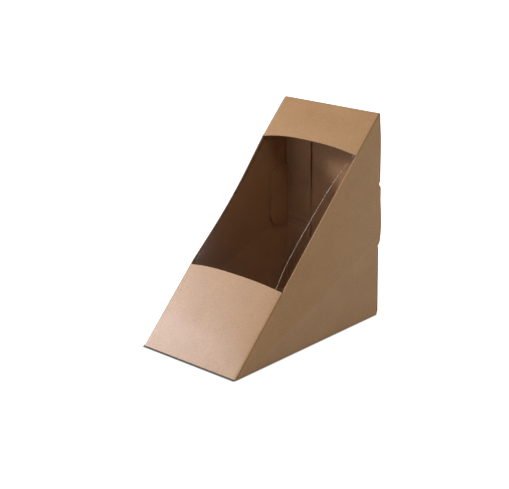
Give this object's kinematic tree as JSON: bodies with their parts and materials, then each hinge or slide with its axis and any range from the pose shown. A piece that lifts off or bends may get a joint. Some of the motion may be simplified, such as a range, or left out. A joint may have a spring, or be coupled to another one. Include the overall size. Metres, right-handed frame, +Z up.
{
  "type": "sandwich wedge pack",
  "caption": "Folded kraft carton wedge: sloping front with an arched clear film window, triangular creased sides, and a back cover that swings on the top fold and locks with tucked-in ears.",
  "frame": {"origin": "middle of the part's box, on the surface that the base stands on", "axes": "+Z up from the base; X across the pack, which is symmetric about X = 0; the front fold and the sloping window point to -Y and the back cover faces +Y"},
  "size_m": [0.077, 0.126, 0.123],
  "materials": {
    "kraft_board": "satin uncoated kraft, fine fibres",
    "clear_film": "thin clear gloss film"
  },
  "bodies": {
    "carton": {"carton": "kraft_board", "window_film": "clear_film"},
    "cover": {"back_cover": "kraft_board"}
  },
  "joints": [
    {"name": "cover_hinge", "type": "hinge", "parent": "carton", "child": "cover", "pos_m": [0, 0.0606, 0.12275], "axis": [1, 0, 0], "range_deg": [0, 180]}
  ]
}
